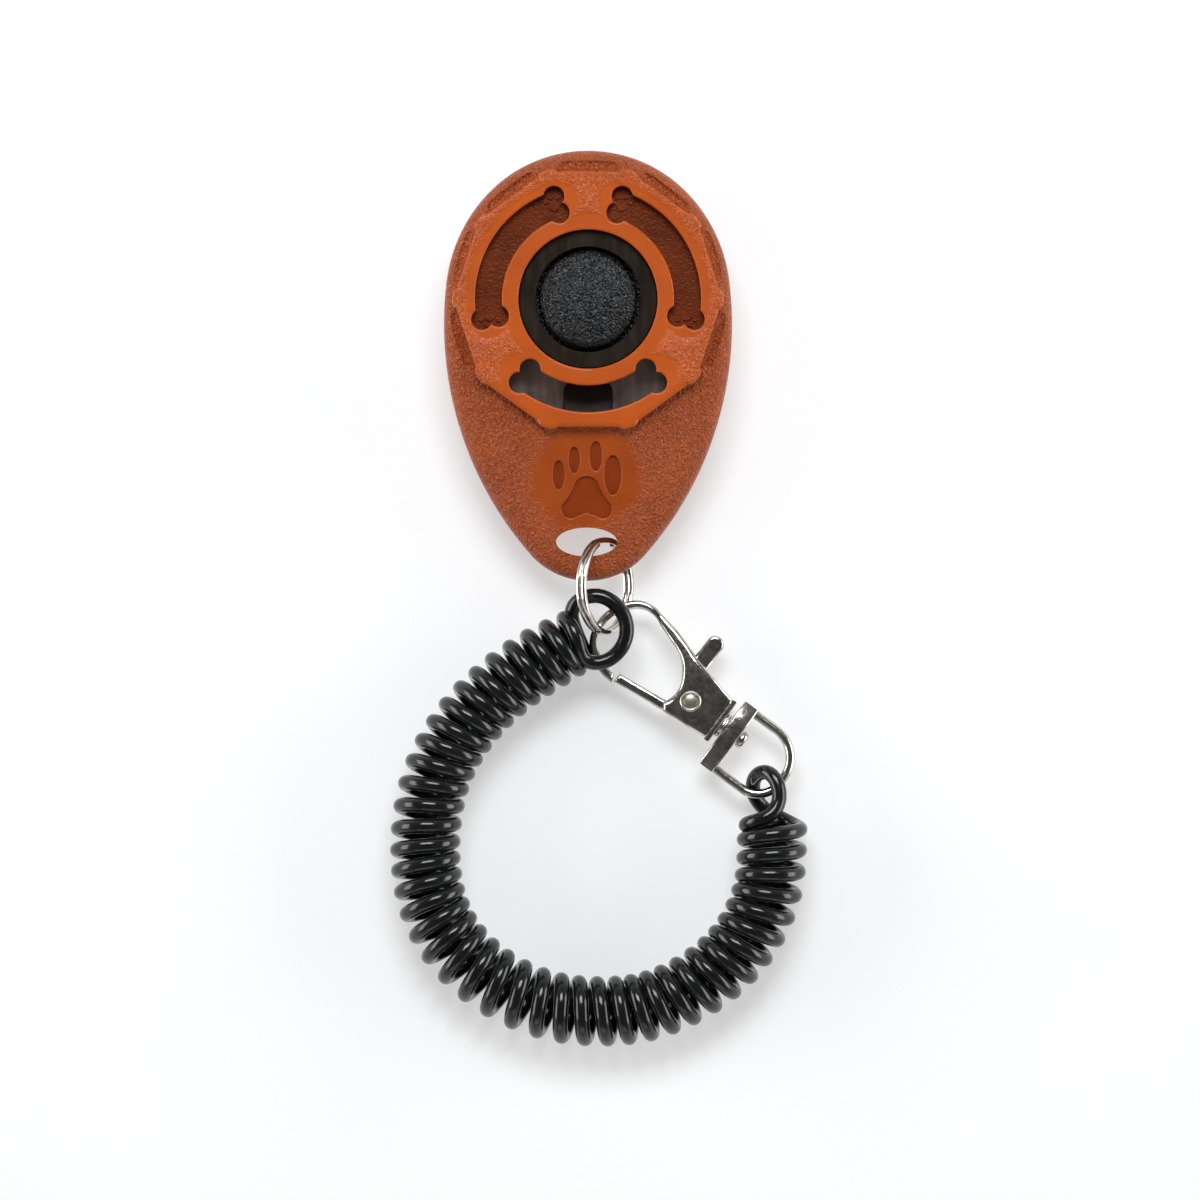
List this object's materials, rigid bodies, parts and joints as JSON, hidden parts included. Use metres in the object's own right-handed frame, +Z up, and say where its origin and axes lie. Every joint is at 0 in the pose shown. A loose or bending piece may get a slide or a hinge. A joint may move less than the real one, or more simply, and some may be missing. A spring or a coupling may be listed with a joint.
{
  "type": "clicker trainer",
  "caption": "Egg-shaped pet training clicker with a sprung thumb button, bone cut-outs and a paw, on a split ring with a coiled wrist strap and a swivel snap hook.",
  "frame": {"origin": "foot of the button's axis on the case's flat back, which rests on the table", "axes": "+X across the case, +Y from the lanyard hole to the crown, +Z up through the button"},
  "size_m": [0.0633, 0.137, 0.0143],
  "materials": {
    "orange_shell": "moulded, finely grained",
    "button_plastic": "pebbled",
    "guide_plastic": "smooth",
    "spring_steel": "rolled strip",
    "clamp_plastic": "smooth",
    "zinc_steel": "zinc plated",
    "ring_nickel": "nickel plated",
    "hook_nickel": "nickel plated casting",
    "cord_plastic": "extruded, semi-gloss"
  },
  "bodies": {
    "case": {"front_cover": "orange_shell", "back_cover": "orange_shell", "button_guide": "guide_plastic", "click_plate": "spring_steel", "plate_clamp": "clamp_plastic", "plate_screw": "zinc_steel", "case_screw_left": "zinc_steel", "case_screw_right": "zinc_steel", "case_screw_lower": "zinc_steel"},
    "button": {"button": "button_plastic"},
    "ring": {"split_ring": "ring_nickel"},
    "strap": {"cord_coil": "cord_plastic", "cord_eye_ring_end": "cord_plastic", "cord_eye_hook_end": "cord_plastic"},
    "hook": {"hook_body": "hook_nickel", "lever_pin": "hook_nickel", "swivel_pin": "hook_nickel"},
    "gate": {"hook_lever": "hook_nickel", "lever_spring": "spring_steel"},
    "swivel": {"swivel_eye": "hook_nickel"}
  },
  "joints": [
    {"name": "button_press", "type": "slide", "parent": "case", "child": "button", "axis": [0, 0, -1], "range_m": [0, 0.0012], "stiffness_N_per_m": 600, "deforming": ["click_plate"]},
    {"name": "ring_swing", "type": "hinge", "parent": "case", "child": "ring", "pos_m": [0.0023, -0.041, 0.0066], "axis": [0.9744, 0.225, 0], "range_deg": [-65, 20]},
    {"name": "strap_slide", "type": "hinge", "parent": "ring", "child": "strap", "pos_m": [0.0026, -0.0439, 0.0071], "axis": [0.8572, 0, 0.515], "range_deg": [-28, 28]},
    {"name": "hook_slide", "type": "hinge", "parent": "ring", "child": "hook", "pos_m": [0.0026, -0.0439, 0.0071], "axis": [0.8572, 0, 0.515], "range_deg": [-28, 28]},
    {"name": "gate", "type": "hinge", "parent": "hook", "child": "gate", "pos_m": [0.01574, -0.06158, 0.0044], "axis": [0, 0, -1], "range_deg": [0, 25], "stiffness_Nm_per_rad": 0.004},
    {"name": "swivel", "type": "hinge", "parent": "hook", "child": "swivel", "pos_m": [0.02046, -0.06512, 0.0044], "axis": [0.8, -0.6, 0], "range_deg": [-9, 9]}
  ],
  "couplings": [
    {"joint": "hook_slide", "follows": "strap_slide", "ratio": 1}
  ]
}
